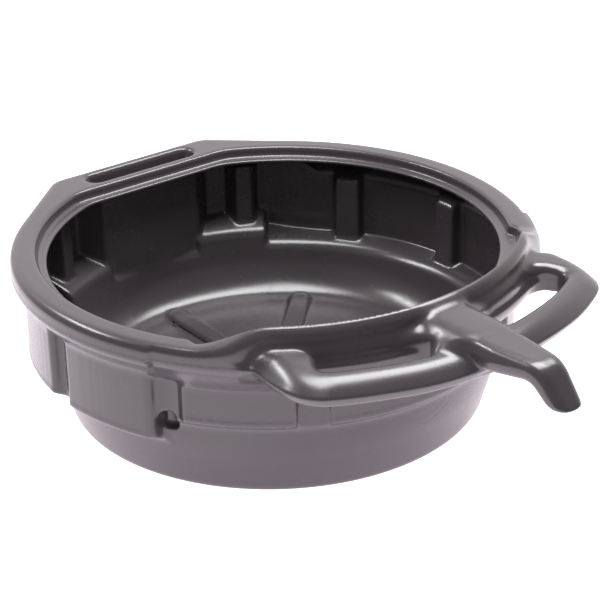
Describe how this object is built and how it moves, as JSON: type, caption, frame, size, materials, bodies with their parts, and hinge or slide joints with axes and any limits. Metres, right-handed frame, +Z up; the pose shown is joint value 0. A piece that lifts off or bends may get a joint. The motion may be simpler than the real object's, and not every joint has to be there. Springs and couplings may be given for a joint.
{
  "type": "oil_drain_pan",
  "caption": "Round charcoal plastic oil drain pan with a stepped grooved bowl, an anti-splash lip, loop handles, a slotted rear handle and a hollow drooping spout.",
  "frame": {"origin": "centre of the flat underside of the bowl, where the bowl's axis meets the floor", "axes": "+Z up along the bowl's axis, -Y along the spout, +Y towards the rear handle, +X to the right seen from behind the rear handle"},
  "size_m": [0.44, 0.577, 0.164],
  "materials": {
    "shell": "satin blow-moulded polyethylene with a fine grain",
    "shell_inner": "satin blow-moulded polyethylene, inside of the bowl",
    "shell_rim": "satin blow-moulded polyethylene, handled edges"
  },
  "bodies": {
    "root": {"floor_plate": "shell_inner", "floor_ribs": "shell_inner", "floor_cove": "shell_inner", "sump_heel": "shell_inner", "sump_wall_left": "shell", "sump_wall_right": "shell", "step_rear": "shell", "step_left": "shell", "step_right": "shell", "step_front": "shell", "panel_front": "shell", "panel_front_left": "shell", "panel_front_right": "shell", "panel_side_left": "shell", "panel_side_right": "shell", "panel_mid_left": "shell", "panel_mid_right": "shell", "panel_rear_left": "shell", "panel_rear_right": "shell", "panel_handle_back": "shell", "grooves_front": "shell_inner", "grooves_side": "shell_inner", "grooves_mid": "shell_inner", "corner_left": "shell", "corner_right": "shell", "shoulder_front": "shell", "shoulder_left": "shell", "shoulder_right": "shell", "rear_shelf": "shell", "rim_left": "shell", "rim_right": "shell", "rim_corner_left": "shell", "rim_corner_right": "shell", "rear_handle": "shell_rim", "lip_front": "shell_rim", "lip_left": "shell_rim", "lip_right": "shell_rim", "lip_rear": "shell_rim", "dam_front": "shell_rim", "dam_crest": "shell_rim", "dam_ramp_left": "shell_rim", "dam_ramp_right": "shell_rim", "gutter": "shell", "handle_left": "shell_rim", "handle_right": "shell_rim", "spout_root": "shell_rim", "spout_neck": "shell_rim", "spout_nozzle": "shell_rim"}
  },
  "joints": []
}
